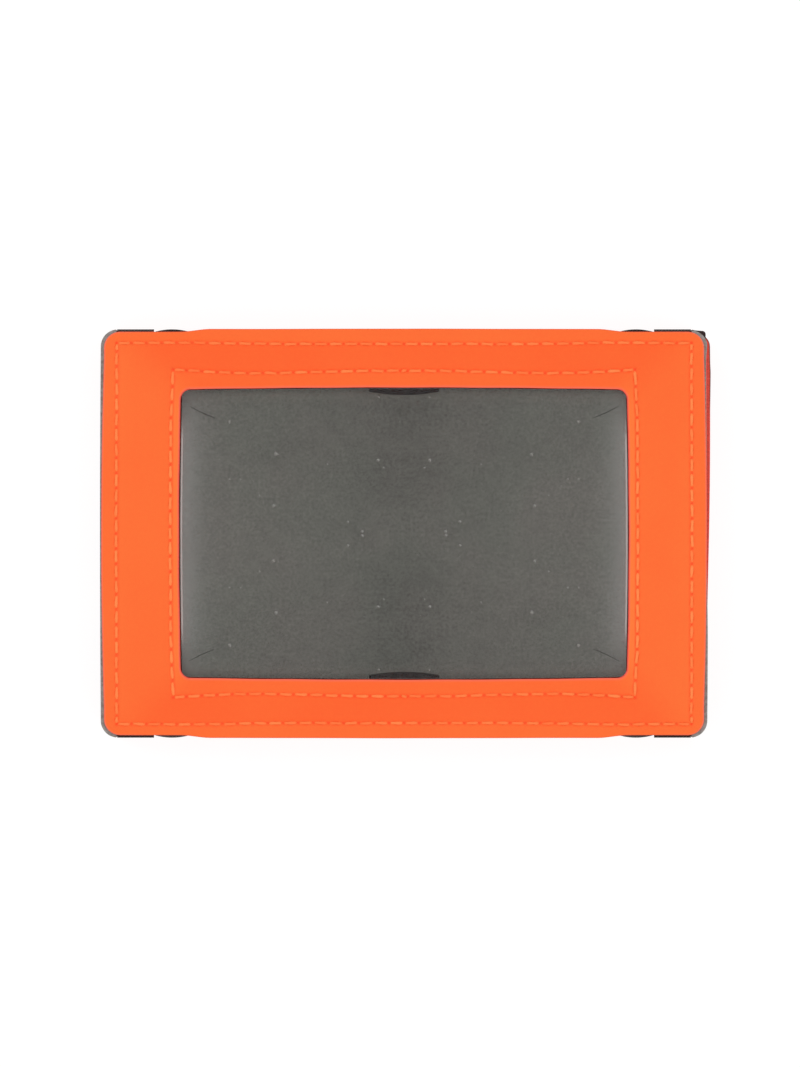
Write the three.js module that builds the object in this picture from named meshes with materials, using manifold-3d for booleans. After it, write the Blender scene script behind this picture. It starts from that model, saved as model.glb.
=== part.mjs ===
// A two-panel flip wallet with a window pocket for an identity card, closed and lying flat.
// Millimetres, +Z up: the window faces up and +X runs along the long side.
// The origin is the middle of the underside.

import * as THREE from 'three';
import { mergeVertices } from 'three/addons/utils/BufferGeometryUtils.js';
import Module from 'manifold-3d';

const wasm = await Module();
wasm.setup();

// The card that both pockets take, and the room round it
const cardLength = 85.6;
const cardWidth = 54;
const cardThickness = 0.76;
const cardEndRoom = 2.2;
const cardFootRoom = 0.3;
const cardThicknessRoom = 0.24;

// Both panels, and how far they reach past the card
const panelEndBorder = 10.7;
const panelSideBorder = 9;
const panelCornerRadius = 3;
const facingThickness = 0.8;
const liningThickness = 0.8;

// Leather covers. They are smaller than the panel at its corners and bow out between them
const coverThickness = 1.2;
const backLeatherThickness = 1.1;
const coverEndInset = 0.7;
const coverSideInset = 0.5;
const coverEndBow = 0.4;
const coverSideRise = 0.5;
const coverSideFallRun = 7;
const coverCornerRadius = 2.3;

// Window and its clear film
const windowEndLap = 3.6;
const windowSideLap = 1.6;
const windowBow = 0.35;
const windowCornerRadius = 1.6;
const filmThickness = 0.3;
const filmLap = 2.5;
const filmClearance = 0.2;

// Thumb notches in the pocket lining. They show below the window's edges
const liningNotchWidth = 12.4;
const liningNotchShow = 1.3;
const liningNotchRise = 0.6;
const liningSlotLength = 7;

// Pocket on the back
const pocketMouthDrop = 9;
const pocketNotchRadius = 10;
const pocketNotchDepth = 6;
const pocketNotchSteps = 48;

// Seams
const threadWidth = 0.8;
const threadCrown = 0.35;
const threadDip = 0.1;
const grooveDepth = 0.4;
const grooveClearance = 0.1;
const seamEndInset = 2.9;
const seamSideInset = 2.4;
const stitchPitch = 2.67;
const windowSeamEndMargin = 1.7;
const windowSeamSideMargin = 3.15;
const windowStitchPitch = 2.75;
const mouthSeamInset = 2.2;
const seamToSeamRoom = 1.6;
const seamToEdgeRoom = 0.8;

// Elastic bands
const bandWidth = 7;
const bandThickness = 0.6;
const bandSideGap = 0.45;
const bandEndInset = 2.65;
const bandFacePlay = 0.25;
const bandCrossPlay = 0.1;
const bandWrapPlay = 0.1;
const bandTuckLength = 6;
const bandTuckPlay = 0.2;
const bandTuckCover = 0.3;
const bandBendRadius = 0.45;
const crossBandLeadIn = 3;

// Worked out from the sizes above
const halfLength = cardLength / 2 + panelEndBorder;
const halfWidth = cardWidth / 2 + panelSideBorder;
const boardThickness = bandWrapPlay + bandThickness + bandTuckCover;
const cardRoomHeight = cardThickness + cardThicknessRoom;
const pocketHalfLength = cardLength / 2 + cardEndRoom;
const pocketFoot = -cardWidth / 2 - cardFootRoom;
const windowHalfLength = cardLength / 2 - windowEndLap;
const windowHalfWidth = cardWidth / 2 - windowSideLap;
const pocketMouth = halfWidth - pocketMouthDrop;
const bandGap = 2 * bandThickness + bandCrossPlay + 2 * bandFacePlay;
const sideBandX = halfLength - bandEndInset - bandWidth / 2;
const crossBandX = sideBandX - bandWidth - bandSideGap;
const bandRecessDepth = bandThickness + bandWrapPlay;
const bandRecessOuter = sideBandX + bandWidth / 2 + bandTuckPlay;
const bandRecessInner = crossBandX - bandWidth / 2 - bandTuckPlay;

// Heights of the layers' lower faces, from the underside up
const backWeltZ = coverThickness;
const backLeatherZ = backWeltZ + cardRoomHeight;
const backBoardZ = backLeatherZ + backLeatherThickness;
const backFacingZ = backBoardZ + boardThickness;
const gapZ = backFacingZ + facingThickness;
const frontFacingZ = gapZ + bandGap;
const frontBoardZ = frontFacingZ + facingThickness;
const liningZ = frontBoardZ + boardThickness;
const frontWeltZ = liningZ + liningThickness;
const filmZ = frontWeltZ + cardRoomHeight;
const frontLeatherZ = filmZ + filmThickness;
const frontTopZ = frontLeatherZ + coverThickness;

// Extra length of a cutting solid, so that it passes right through
const cutOver = 1;
const arcSteps = 5;

const orangeLeather = { color: 0xfe6c36, roughness: 0.6, metalness: 0 };
const orangeThread = { color: 0xff8c47, roughness: 0.7, metalness: 0 };
const greyLining = { color: 0x5f5e59, roughness: 0.75, metalness: 0 };
const paleWelt = { color: 0x9a9a97, roughness: 0.8, metalness: 0 };
const darkBoard = { color: 0x382e2e, roughness: 0.8, metalness: 0 };
const blackElastic = { color: 0x1a1a1c, roughness: 0.9, metalness: 0 };
const clearFilm = { color: 0xdfe3e3, roughness: 0.15, metalness: 0, transparent: true, opacity: 0.25 };

const wallet = new THREE.Group();

function place(name, geometry, look) {
  const mesh = new THREE.Mesh(geometry, new THREE.MeshStandardMaterial(look));
  mesh.name = name;
  wallet.add(mesh);
}

// Booleans

function toSolid(geometry) {
  const bare = geometry.clone();
  bare.deleteAttribute('normal');
  bare.deleteAttribute('uv');
  const merged = mergeVertices(bare);
  return new wasm.Manifold(new wasm.Mesh({
    numProp: 3,
    vertProperties: new Float32Array(merged.attributes.position.array),
    triVerts: new Uint32Array(merged.index.array),
  }));
}

function toGeometry(solid) {
  const mesh = solid.getMesh();
  const geometry = new THREE.BufferGeometry();
  geometry.setAttribute('position', new THREE.BufferAttribute(new Float32Array(mesh.vertProperties), 3));
  geometry.setIndex(new THREE.BufferAttribute(new Uint32Array(mesh.triVerts), 1));
  geometry.computeVertexNormals();
  return geometry;
}

function cut(geometry, tools) {
  let solid = toSolid(geometry);
  for (const tool of tools) {
    solid = solid.subtract(toSolid(tool));
  }
  return toGeometry(solid);
}

// Basic solids

function box(x0, x1, y0, y1, z0, z1) {
  const geometry = new THREE.BoxGeometry(x1 - x0, y1 - y0, z1 - z0);
  return geometry.translate((x0 + x1) / 2, (y0 + y1) / 2, (z0 + z1) / 2);
}

function layer(points, z, thickness) {
  const shape = new THREE.Shape(points);
  const geometry = new THREE.ExtrudeGeometry(shape, { depth: thickness, bevelEnabled: false });
  return geometry.translate(0, 0, z);
}

// A closed outline from its quarter in +X +Y, which runs from the X axis round to the Y axis
function mirrorQuarter(quarter) {
  const flip = (points, sx, sy) => points.map((p) => new THREE.Vector2(sx * p.x, sy * p.y));
  const back = [...quarter].reverse();
  return [
    ...flip(quarter, 1, 1),
    ...flip(back, -1, 1),
    ...flip(quarter, -1, -1),
    ...flip(back, 1, -1),
  ];
}

function arcPoints(centreX, centreY, radius, from, to, steps) {
  const points = [];
  for (let i = 0; i <= steps; i += 1) {
    const angle = from + (to - from) * i / steps;
    points.push(new THREE.Vector2(centreX + radius * Math.cos(angle), centreY + radius * Math.sin(angle)));
  }
  return points;
}

// Outline of the stiff layers: round corners, and a shallow recess where each pair of bands
// wraps round the edge
function panelOutline() {
  const centreX = halfLength - panelCornerRadius;
  const centreY = halfWidth - panelCornerRadius;
  const recessAngle = Math.acos(Math.max(0, bandRecessOuter - centreX) / panelCornerRadius);
  const quarter = arcPoints(centreX, centreY, panelCornerRadius, 0, recessAngle, arcSteps);
  if (bandRecessOuter < centreX) {
    quarter.push(new THREE.Vector2(bandRecessOuter, halfWidth));
  }
  quarter.push(new THREE.Vector2(bandRecessOuter, halfWidth - bandRecessDepth));
  quarter.push(new THREE.Vector2(bandRecessInner, halfWidth - bandRecessDepth));
  quarter.push(new THREE.Vector2(bandRecessInner, halfWidth));
  return mirrorQuarter(quarter);
}

// Outline of the leather covers: the ends bow out, and the long sides rise between the bands
function coverOutline() {
  const endX = halfLength - coverEndInset;
  const sideY = halfWidth - coverSideInset;
  const endSteps = 6;
  const riseSteps = 8;
  const bowAt = (y) => coverEndBow * (1 - (y / sideY) ** 2);
  const quarter = [];
  for (let i = 0; i < endSteps; i += 1) {
    const y = (sideY - coverCornerRadius) * (i + 0.5) / endSteps;
    quarter.push(new THREE.Vector2(endX + bowAt(y), y));
  }
  const corner = arcPoints(
    endX - coverCornerRadius, sideY - coverCornerRadius, coverCornerRadius, 0, Math.PI / 2, arcSteps,
  );
  for (const point of corner) {
    quarter.push(new THREE.Vector2(point.x + bowAt(point.y), point.y));
  }
  const fallFrom = bandRecessInner - coverSideFallRun / 2;
  for (let i = riseSteps; i >= 0; i -= 1) {
    const share = i / riseSteps;
    const rise = coverSideRise * (1 - share * share * (3 - 2 * share));
    quarter.push(new THREE.Vector2(fallFrom + coverSideFallRun * share, sideY + rise));
  }
  return mirrorQuarter(quarter);
}

// Outline of the window: a rounded rectangle with its sides bowed out
function windowOutline() {
  const steps = 6;
  const bow = (along, half) => windowBow * (1 - (along / half) ** 2);
  const quarter = [];
  for (let i = 0; i < steps; i += 1) {
    const y = (windowHalfWidth - windowCornerRadius) * (i + 0.5) / steps;
    quarter.push(new THREE.Vector2(windowHalfLength + bow(y, windowHalfWidth), y));
  }
  quarter.push(...arcPoints(
    windowHalfLength - windowCornerRadius, windowHalfWidth - windowCornerRadius,
    windowCornerRadius, 0, Math.PI / 2, arcSteps,
  ));
  for (let i = steps - 1; i >= 0; i -= 1) {
    const x = (windowHalfLength - windowCornerRadius) * (i + 0.5) / steps;
    quarter.push(new THREE.Vector2(x, windowHalfWidth + bow(x, windowHalfLength)));
  }
  return mirrorQuarter(quarter);
}

// Seams

// A solid of changing section swept along a flat path, with mitred corners.
// sectionAt(i) gives the section's points, each an offset to the path's left and a height,
// in anticlockwise order as seen looking along the path
function sweep(path, closed, sectionAt) {
  const count = path.length;
  const sides = sectionAt(0).length;
  const positions = [];
  path.forEach((point, i) => {
    const before = closed || i > 0 ? path[(i + count - 1) % count] : null;
    const after = closed || i < count - 1 ? path[(i + 1) % count] : null;
    const directions = [];
    if (before) directions.push(point.clone().sub(before).normalize());
    if (after) directions.push(after.clone().sub(point).normalize());
    const normals = directions.map((d) => new THREE.Vector2(-d.y, d.x));
    const first = normals[0];
    const last = normals[normals.length - 1];
    const mitre = first.clone().add(last).divideScalar(1 + first.dot(last));
    for (const [offset, height] of sectionAt(i)) {
      positions.push(point.x + mitre.x * offset, point.y + mitre.y * offset, height);
    }
  });
  const faces = [];
  const rings = closed ? count : count - 1;
  for (let i = 0; i < rings; i += 1) {
    const next = (i + 1) % count;
    for (let k = 0; k < sides; k += 1) {
      const m = (k + 1) % sides;
      faces.push(i * sides + k, next * sides + m, i * sides + m);
      faces.push(i * sides + k, next * sides + k, next * sides + m);
    }
  }
  if (!closed) {
    const lastRing = (count - 1) * sides;
    for (let k = 1; k < sides - 1; k += 1) {
      faces.push(0, k, k + 1);
      faces.push(lastRing, lastRing + k + 1, lastRing + k);
    }
  }
  const geometry = new THREE.BufferGeometry();
  geometry.setAttribute('position', new THREE.BufferAttribute(new Float32Array(positions), 3));
  geometry.setIndex(faces);
  geometry.computeVertexNormals();
  return geometry;
}

// Points at every needle hole and every stitch's middle along a path given by its corners
function stitchPoints(corners, closed, pitch) {
  const points = [];
  const legs = closed ? corners.length : corners.length - 1;
  for (let leg = 0; leg < legs; leg += 1) {
    const from = corners[leg];
    const to = corners[(leg + 1) % corners.length];
    const steps = 2 * Math.max(1, Math.round(from.distanceTo(to) / pitch));
    for (let i = 0; i < steps; i += 1) {
      points.push(from.clone().lerp(to, i / steps));
    }
  }
  if (!closed) points.push(corners[corners.length - 1].clone());
  return points;
}

// The thread lies on the groove's floor, high at each stitch's middle and low at each hole.
// up is 1 on a face that looks up and -1 on a face that looks down
function thread(corners, closed, pitch, faceZ, up) {
  const floor = faceZ - up * grooveDepth;
  const left = up * threadWidth / 2;
  return sweep(stitchPoints(corners, closed, pitch), closed, (i) => [
    [left, floor],
    [-left, floor],
    [0, floor + up * (i % 2 ? threadCrown : threadDip)],
  ]);
}

function groove(corners, closed, faceZ, up) {
  const floor = faceZ - up * grooveDepth;
  const open = faceZ + up * cutOver;
  const left = up * (threadWidth / 2 + grooveClearance);
  return sweep(corners, closed, () => [[left, floor], [-left, floor], [-left, open], [left, open]]);
}

// An open path made longer at both ends
function lengthened(corners, by) {
  const path = corners.map((p) => p.clone());
  const last = path.length - 1;
  path[0].add(path[0].clone().sub(path[1]).setLength(by));
  path[last].add(path[last].clone().sub(path[last - 1]).setLength(by));
  return path;
}

function rectanglePath(halfX, halfY) {
  return [
    new THREE.Vector2(halfX, -halfY),
    new THREE.Vector2(halfX, halfY),
    new THREE.Vector2(-halfX, halfY),
    new THREE.Vector2(-halfX, -halfY),
  ];
}

const seamX = halfLength - seamEndInset;
const seamY = halfWidth - seamSideInset;
const edgeSeam = rectanglePath(seamX, seamY);
const windowSeamX = windowHalfLength + windowSeamEndMargin;
const windowSeamY = windowHalfWidth + windowSeamSideMargin;
const windowSeam = rectanglePath(windowSeamX, windowSeamY);

// Front panel

const filmHalfLength = windowSeamX + filmLap;
const filmHalfWidth = windowSeamY + filmLap;

function frontLeather() {
  const hide = layer(coverOutline(), frontLeatherZ, coverThickness);
  return cut(hide, [
    layer(windowOutline(), frontLeatherZ - cutOver, coverThickness + 2 * cutOver),
    groove(edgeSeam, true, frontTopZ, 1),
    groove(windowSeam, true, frontTopZ, 1),
  ]);
}

// A filler with room for the card: both ends and the foot, open at the mouth
function welt(z, thickness) {
  const sheet = layer(panelOutline(), z, thickness);
  const over = halfWidth + cutOver;
  return cut(sheet, [
    box(-pocketHalfLength, pocketHalfLength, pocketFoot, over, z - cutOver, z + thickness + cutOver),
  ]);
}

// The front filler reaches the leather, and is pared down where the film's edge lies on it
function frontWelt() {
  const reachX = filmHalfLength + filmClearance;
  const reachY = filmHalfWidth + filmClearance;
  return cut(welt(frontWeltZ, cardRoomHeight + filmThickness), [
    box(-reachX, reachX, -reachY, reachY, filmZ, frontLeatherZ + cutOver),
  ]);
}

// The end of a thumb notch is a flat curve between two steep sides
function notchCutter(from, to) {
  const half = liningNotchWidth / 2;
  const steps = 8;
  const points = [new THREE.Vector2(half, to)];
  points.push(new THREE.Vector2(-half, to));
  for (let i = 0; i <= steps; i += 1) {
    const share = -1 + 2 * i / steps;
    points.push(new THREE.Vector2(half * share, from + liningNotchRise * share * share));
  }
  return layer(points, liningZ - cutOver, liningThickness + 2 * cutOver);
}

function pocketLining() {
  const notchEnd = windowHalfWidth + windowBow - liningNotchShow;
  return cut(layer(panelOutline(), liningZ, liningThickness), [
    notchCutter(notchEnd, halfWidth + cutOver),
    notchCutter(notchEnd, notchEnd + liningSlotLength).rotateZ(Math.PI),
  ]);
}

// A board has a cut-out for each band end that is sewn into it
function board(z, topBandX, footBandX) {
  const half = bandWidth / 2 + bandTuckPlay;
  const depth = halfWidth - bandTuckLength - bandThickness - bandTuckPlay;
  const low = z - cutOver;
  const high = z + boardThickness + cutOver;
  const over = halfWidth + cutOver;
  const cutters = [];
  for (const side of [-1, 1]) {
    const top = side * topBandX;
    const foot = side * footBandX;
    cutters.push(box(top - half, top + half, depth, over, low, high));
    cutters.push(box(foot - half, foot + half, -over, -depth, low, high));
  }
  return cut(layer(panelOutline(), z, boardThickness), cutters);
}

function facing(z, faceZ, up) {
  return cut(layer(panelOutline(), z, facingThickness), [groove(edgeSeam, true, faceZ, up)]);
}

place('front_leather', frontLeather(), orangeLeather);
place('front_outer_thread', thread(edgeSeam, true, stitchPitch, frontTopZ, 1), orangeThread);
place('window_thread', thread(windowSeam, true, windowStitchPitch, frontTopZ, 1), orangeThread);
place(
  'window_film',
  box(-filmHalfLength, filmHalfLength, -filmHalfWidth, filmHalfWidth, filmZ, frontLeatherZ),
  clearFilm,
);
place('front_welt', frontWelt(), paleWelt);
place('pocket_lining', pocketLining(), greyLining);
place('front_board', board(frontBoardZ, sideBandX, crossBandX), darkBoard);
place('front_facing', facing(frontFacingZ, frontFacingZ, -1), orangeLeather);
place('front_inner_thread', thread(edgeSeam, true, stitchPitch, frontFacingZ, -1), orangeThread);

// Back panel

const notchCentreY = pocketMouth + pocketNotchRadius - pocketNotchDepth;
const mouthSeamY = pocketMouth - mouthSeamInset;

function pocketLeather() {
  const over = halfWidth + cutOver;
  const notch = new THREE.CylinderGeometry(
    pocketNotchRadius, pocketNotchRadius, coverThickness + 2 * cutOver, pocketNotchSteps,
  );
  notch.rotateX(Math.PI / 2).translate(0, notchCentreY, coverThickness / 2);
  return cut(layer(coverOutline(), 0, coverThickness), [
    box(-halfLength - cutOver, halfLength + cutOver, pocketMouth, over, -cutOver, coverThickness + cutOver),
    notch,
    groove(lengthened(pocketSeam, cutOver), false, 0, -1),
    groove(lengthened(mouthSeam, grooveClearance), false, 0, -1),
  ]);
}

// The seam round the pocket's sewn sides starts and ends just inside its mouth
const pocketSeam = [
  new THREE.Vector2(-seamX, pocketMouth - seamToEdgeRoom),
  new THREE.Vector2(-seamX, -seamY),
  new THREE.Vector2(seamX, -seamY),
  new THREE.Vector2(seamX, pocketMouth - seamToEdgeRoom),
];

// The rest of the edge seam lies on the leather above the pocket's mouth
const topSeam = [
  new THREE.Vector2(-seamX, pocketMouth + seamToEdgeRoom),
  new THREE.Vector2(-seamX, seamY),
  new THREE.Vector2(seamX, seamY),
  new THREE.Vector2(seamX, pocketMouth + seamToEdgeRoom),
];

// The mouth's seam follows its edge round the thumb notch
function mouthSeamPath() {
  const radius = pocketNotchRadius + mouthSeamInset;
  const turn = Math.asin((notchCentreY - mouthSeamY) / radius);
  const steps = Math.round(radius * (Math.PI - 2 * turn) / stitchPitch);
  const end = seamX - seamToSeamRoom;
  return [
    new THREE.Vector2(-end, mouthSeamY),
    ...arcPoints(0, notchCentreY, radius, Math.PI + turn, 2 * Math.PI - turn, steps),
    new THREE.Vector2(end, mouthSeamY),
  ];
}
const mouthSeam = mouthSeamPath();

function backWelt() {
  const over = halfWidth + cutOver;
  return cut(welt(backWeltZ, cardRoomHeight), [
    box(-halfLength - cutOver, halfLength + cutOver, pocketMouth, over, 0, backLeatherZ + cutOver),
  ]);
}

function backLeather() {
  return cut(layer(coverOutline(), backLeatherZ, backLeatherThickness), [
    groove(lengthened(topSeam, grooveClearance), false, backLeatherZ, -1),
  ]);
}

place('back_facing', facing(backFacingZ, gapZ, 1), orangeLeather);
place('back_inner_thread', thread(edgeSeam, true, stitchPitch, gapZ, 1), orangeThread);
place('back_board', board(backBoardZ, crossBandX, sideBandX), darkBoard);
place('back_leather', backLeather(), orangeLeather);
place('back_top_thread', thread(topSeam, false, stitchPitch, backLeatherZ, -1), orangeThread);
place('back_welt', backWelt(), paleWelt);
place('back_pocket_leather', pocketLeather(), orangeLeather);
place('back_seam_thread', thread(pocketSeam, false, stitchPitch, 0, -1), orangeThread);
place('pocket_mouth_thread', thread(mouthSeam, false, stitchPitch, 0, -1), orangeThread);

// Elastic bands. Each runs between the panels from the front panel at one edge to the back
// panel at the other, and wraps round both edges

function bandRun(path, z) {
  const half = bandWidth / 2;
  const top = z + bandThickness;
  return sweep(path, false, () => [[half, top], [half, z], [-half, z], [-half, top]]);
}

// A band end seen along X: a leg up the panel's edge, a bend and a tuck into the board.
// edge is 1 at the top edge and -1 at the foot, up is 1 on the front panel and -1 on the back
function bandEnd(x, edge, up, startZ, facingZ) {
  const outer = halfWidth;
  const inner = halfWidth - bandThickness;
  const tuckNear = facingZ + up * bandWrapPlay;
  const tuckFar = tuckNear + up * bandThickness;
  const tuckEnd = inner - bandTuckLength;
  const bend = arcPoints(0, 0, bandBendRadius, 0, Math.PI / 2, arcSteps).map((p) => new THREE.Vector2(
    outer - bandBendRadius + p.x,
    tuckFar - up * (bandBendRadius - p.y),
  ));
  const outline = [
    new THREE.Vector2(inner, startZ),
    new THREE.Vector2(outer, startZ),
    ...bend,
    new THREE.Vector2(tuckEnd, tuckFar),
    new THREE.Vector2(tuckEnd, tuckNear),
    new THREE.Vector2(inner, tuckNear),
  ];
  const shape = new THREE.Shape(outline.map((p) => new THREE.Vector2(edge * p.x, p.y)));
  const geometry = new THREE.ExtrudeGeometry(shape, { depth: bandWidth, bevelEnabled: false });
  // The profile's x is the part's Y and its y is the part's Z
  geometry.applyMatrix4(new THREE.Matrix4().makeBasis(
    new THREE.Vector3(0, 1, 0), new THREE.Vector3(0, 0, 1), new THREE.Vector3(1, 0, 0),
  ));
  return geometry.translate(x - bandWidth / 2, 0, 0);
}

function placeBand(name, path, z) {
  const start = path[0];
  const end = path[path.length - 1];
  const frontEdge = Math.sign(start.y);
  place(name, bandRun(path, z), blackElastic);
  place(
    `${name}_front_end`,
    bandEnd(start.x, frontEdge, 1, z + bandThickness + bandWrapPlay, frontBoardZ),
    blackElastic,
  );
  place(
    `${name}_back_end`,
    bandEnd(end.x, -frontEdge, -1, z - bandWrapPlay, backFacingZ),
    blackElastic,
  );
}

const sideBandZ = gapZ + (bandGap - bandThickness) / 2;
for (const [name, side] of [['side_band_left', -1], ['side_band_right', 1]]) {
  const x = side * sideBandX;
  placeBand(name, [new THREE.Vector2(x, halfWidth), new THREE.Vector2(x, -halfWidth)], sideBandZ);
}

const lowerBandZ = gapZ + bandFacePlay;
const upperBandZ = lowerBandZ + bandThickness + bandCrossPlay;
const leadY = halfWidth - crossBandLeadIn;
for (const [name, side, z] of [['cross_band_lower', 1, lowerBandZ], ['cross_band_upper', -1, upperBandZ]]) {
  const x = side * crossBandX;
  placeBand(name, [
    new THREE.Vector2(x, -halfWidth),
    new THREE.Vector2(x, -leadY),
    new THREE.Vector2(-x, leadY),
    new THREE.Vector2(-x, halfWidth),
  ], z);
}

export default wallet;
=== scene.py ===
"""The looks of a flip wallet with a card window: leather, seams, elastic bands, film and layers."""

import bmesh
import bpy
import numpy as np
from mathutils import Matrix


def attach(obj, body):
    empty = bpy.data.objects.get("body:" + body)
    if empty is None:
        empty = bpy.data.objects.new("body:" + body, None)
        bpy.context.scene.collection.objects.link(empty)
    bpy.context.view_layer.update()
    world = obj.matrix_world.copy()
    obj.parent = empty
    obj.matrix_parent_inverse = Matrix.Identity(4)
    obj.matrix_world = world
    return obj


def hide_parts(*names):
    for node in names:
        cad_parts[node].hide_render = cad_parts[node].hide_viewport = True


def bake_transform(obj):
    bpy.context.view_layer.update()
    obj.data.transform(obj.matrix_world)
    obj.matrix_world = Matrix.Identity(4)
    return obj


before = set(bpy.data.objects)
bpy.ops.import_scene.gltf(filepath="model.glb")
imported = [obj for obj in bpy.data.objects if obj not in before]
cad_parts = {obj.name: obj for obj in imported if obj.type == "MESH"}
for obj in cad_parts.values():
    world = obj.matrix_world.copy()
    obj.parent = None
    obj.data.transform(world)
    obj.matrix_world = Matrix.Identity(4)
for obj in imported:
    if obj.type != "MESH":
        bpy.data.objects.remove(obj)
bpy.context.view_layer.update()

MM = 0.001
SEED = 7

# Photograph: 800 x 1067 pixels, the wallet's middle at (404.05, 533.5)
PHOTO_WIDTH = 800
PHOTO_HEIGHT = 1067
MM_PER_PIXEL = 0.17628
MIDDLE_PIXEL = (404.05, 533.5)
CAMERA_HEIGHT = 2000.0
SENSOR = 36.0

# Levels of the layers, in mm above the underside
POCKET_LEATHER = (0.0, 1.2)
BACK_FILLER = (1.2, 2.2)
BACK_LEATHER = (2.2, 3.3)
BACK_BOARD = (3.36, 4.26)
BACK_FACING = (4.3, 5.1)
HINGE_LEVEL = 6.0
FRONT_FACING = (6.9, 7.7)
FRONT_BOARD = (7.7, 8.7)
POCKET_LINING = (8.7, 9.5)
FRONT_FILLER = (9.5, 10.8)
FILM = (10.5, 10.78)
FRONT_LEATHER = (10.8, 12.0)

# Outlines: half sizes and corner radii
PANEL = (53.5, 36.0, 3.0)
COVER = (52.9, 35.57, 2.85)
BACK_CORNER = 2.2
WINDOW = (39.28, 25.4, 1.7)
FILM_SHEET = (43.4, 31.05, 1.0)

# Upper right: the front's inner layers are cut back, and the back board's corner is nearly square
UPPER_TRIM = 0.27
TRIMMED_CORNER = (53.5, 35.8, 2.8)
SQUARE_CORNER = (53.38, 35.86, 0.6)

# How far ends and sides bow out, and over what length
PANEL_END_BOW = 0.14
PANEL_END_SPAN = 33.0
COVER_END_BOW = 0.48
COVER_END_SPAN = 30.5
COVER_SIDE_RISE = 0.49
COVER_SIDE_STEP = (34.0, 39.6)
COVER_SIDE_CROWN = 0.05
COVER_CROWN_SPAN = 30.0
WINDOW_BOW = 0.35

# Leather: radius of its edges, and how unsteady they are
EDGE = 0.22
WINDOW_EDGE = 0.32
COVER_SWAY = 0.01
WINDOW_SWAY = 0.03

# Recesses for the bands in the long sides
RECESS = (36.2, 50.75)
RECESS_DEPTH = 0.7
RECESS_EASE = 0.3

# Back pocket, and the room for a card in both pockets
POCKET_MOUTH = 27.0
NOTCH_CENTRE = 31.0
NOTCH_RADIUS = 10.0
CARD_ROOM = 45.0
FRONT_ROOM_FOOT = -31.25
BACK_ROOM_FOOT = -27.3

# Thumb notches of the lining: half width, floor, its rise, and the lower one's end
LINING_NOTCH = (6.2, 24.45, 0.6, 31.45)

# Seams: half sizes, then stitch length and first hole from the middle, across and down
OUTER_SEAM = (50.7, 33.5)
OUTER_STITCH = (2.67, 0.0, 2.678, 0.0)
WINDOW_SEAM = (40.9, 28.5)
WINDOW_STITCH = (2.697, 0.62, 2.742, 1.23)
MOUTH_SEAM_INSET = 2.2
MOUTH_SEAM_END = 49.0
TOP_SEAM_START = 27.9
POCKET_SEAM_START = 26.2
SEAM_DEPTH = 0.13
HOLE_DEPTH = 0.16

# The seams' bent lines: distance along from the middle, and distance out
OUTER_ENDS = [(0.0, 50.78), (33.5, 50.66)]
OUTER_SIDES = [
    (0.0, 33.42), (10.0, 33.44), (16.0, 33.38), (27.0, 33.48), (37.5, 33.68), (43.0, 33.62), (50.7, 33.56),
]
WINDOW_ENDS = [(0.0, 41.24), (16.0, 41.16), (21.0, 41.1), (28.9, 40.67)]
WINDOW_SIDES = [
    (0.0, 28.7), (8.0, 28.68), (16.0, 28.44), (26.0, 28.25), (31.5, 28.34), (36.0, 28.6), (40.9, 28.9),
]

# How far the back cover has slipped to the right, by height above the middle
BACK_SLIP = [
    (-24.0, 0.1), (-14.0, 0.42), (-4.7, 0.54), (11.2, 0.86), (21.8, 1.07), (28.7, 1.34), (36.0, 1.24),
]
BACK_DROP = 0.25

# Insets of a leather sheet's rings, dense at its seam
FACE_INSETS = [
    6.0, 4.2, 3.6, 3.2, 3.0, 2.85, 2.7, 2.6, 2.5, 2.4, 2.3, 2.2, 2.1, 2.0, 1.85, 1.7, 1.5, 1.2, 0.9, 0.6,
    0.4,
]

# Points along a ring's long and short sides
RING = (304, 200)

# Stitches
STITCH_RINGS = 12
STITCH_SIDES = 10
STITCH_WIDTH = 0.285
STITCH_HEIGHT = 0.20
STITCH_ARCH = 0.36
STITCH_SINK = 0.30

# Elastic bands: distance from the middle, then width
BAND_THICKNESS = 0.6
SIDE_BAND = (47.45, 6.5)
CROSS_BAND = (41.0, 6.0)
CROSS_LEVELS = (5.66, 6.34)
CROSS_BOW = 0.41
BAND_SPLIT = 44.1
TUCK_END = 29.2
BAND_REACH = 36.1
FOLD = (35.86, 0.19, 0.15)
FOLD_SHARE = 0.75
RIB_HEIGHT = 0.035
RIB_PITCH = 0.56

# A band's end: up the panel's edge, round a bend and in below the board
END_RISE = [(35.74, 5.95), (35.75, 6.3), (35.73, 6.9)]
END_BEND = ((35.22, 7.6), 0.5)
END_TUCK = [(33.0, 8.1), (29.5, 8.1)]

# Specks of dust in a quarter of the window, mirrored in the others: place and size
SPECKS = [
    (30.77, 19.7, 0.30), (22.55, 13.94, 0.32), (23.03, 4.9, 0.28), (4.56, 12.94, 0.26),
    (7.39, 0.36, 0.26), (9.88, 2.1, 0.2), (4.47, 24.05, 0.18), (3.62, 11.6, 0.15),
    (13.55, 12.18, 0.15), (30.8, 9.57, 0.15), (28.87, 9.57, 0.15), (25.5, 6.7, 0.14),
]
SMALL_SPECKS = 150
SPECK_SIDES = 7
SCRATCH_STEPS = 16

rng = np.random.default_rng(SEED)


# Node trees
def node(kind, inputs=None, tree=None, **settings):
    """A shader node, in the given tree or else in that of the sockets among its inputs."""
    inputs = inputs or {}
    linked = [key for key, value in inputs.items() if isinstance(value, bpy.types.NodeSocket)]
    tree = tree or inputs[linked[0]].id_data
    made = tree.nodes.new("ShaderNode" + kind)
    for key, value in settings.items():
        setattr(made, key, value)
    for key, value in inputs.items():
        if key in linked:
            tree.links.new(value, made.inputs[key])
        else:
            made.inputs[key].default_value = value
    return made


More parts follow.
